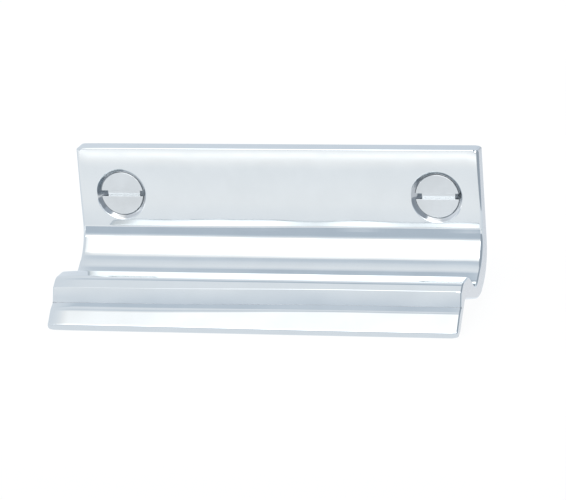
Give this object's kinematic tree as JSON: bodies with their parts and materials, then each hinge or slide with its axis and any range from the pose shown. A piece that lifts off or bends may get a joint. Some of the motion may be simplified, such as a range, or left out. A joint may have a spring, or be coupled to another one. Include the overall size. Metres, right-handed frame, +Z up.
{
  "type": "hook sash lift",
  "caption": "One-piece hook sash lift: a flat back plate that turns forward into a finger trough, a ridge and a flared lip, with its countersunk wood screws.",
  "frame": {"origin": "on the back face that rests on the sash rail, midway between the two screw holes", "axes": "+X along the sash rail to the viewer's right, +Y into the sash, +Z up; the hook stands out towards -Y"},
  "size_m": [0.07, 0.0421, 0.0255],
  "materials": {
    "lift_chrome": "polished chrome plate",
    "screw_chrome": "bright chrome plate with a turned face"
  },
  "bodies": {
    "lift": {"lift": "lift_chrome"},
    "screw_left": {"screw_left": "screw_chrome"},
    "screw_right": {"screw_right": "screw_chrome"}
  },
  "joints": [
    {"name": "screw_left_withdraw", "type": "slide", "parent": "lift", "child": "screw_left", "axis": [0, -1, 0], "range_m": [0, 0.023]},
    {"name": "screw_right_withdraw", "type": "slide", "parent": "lift", "child": "screw_right", "axis": [0, -1, 0], "range_m": [0, 0.023]}
  ]
}
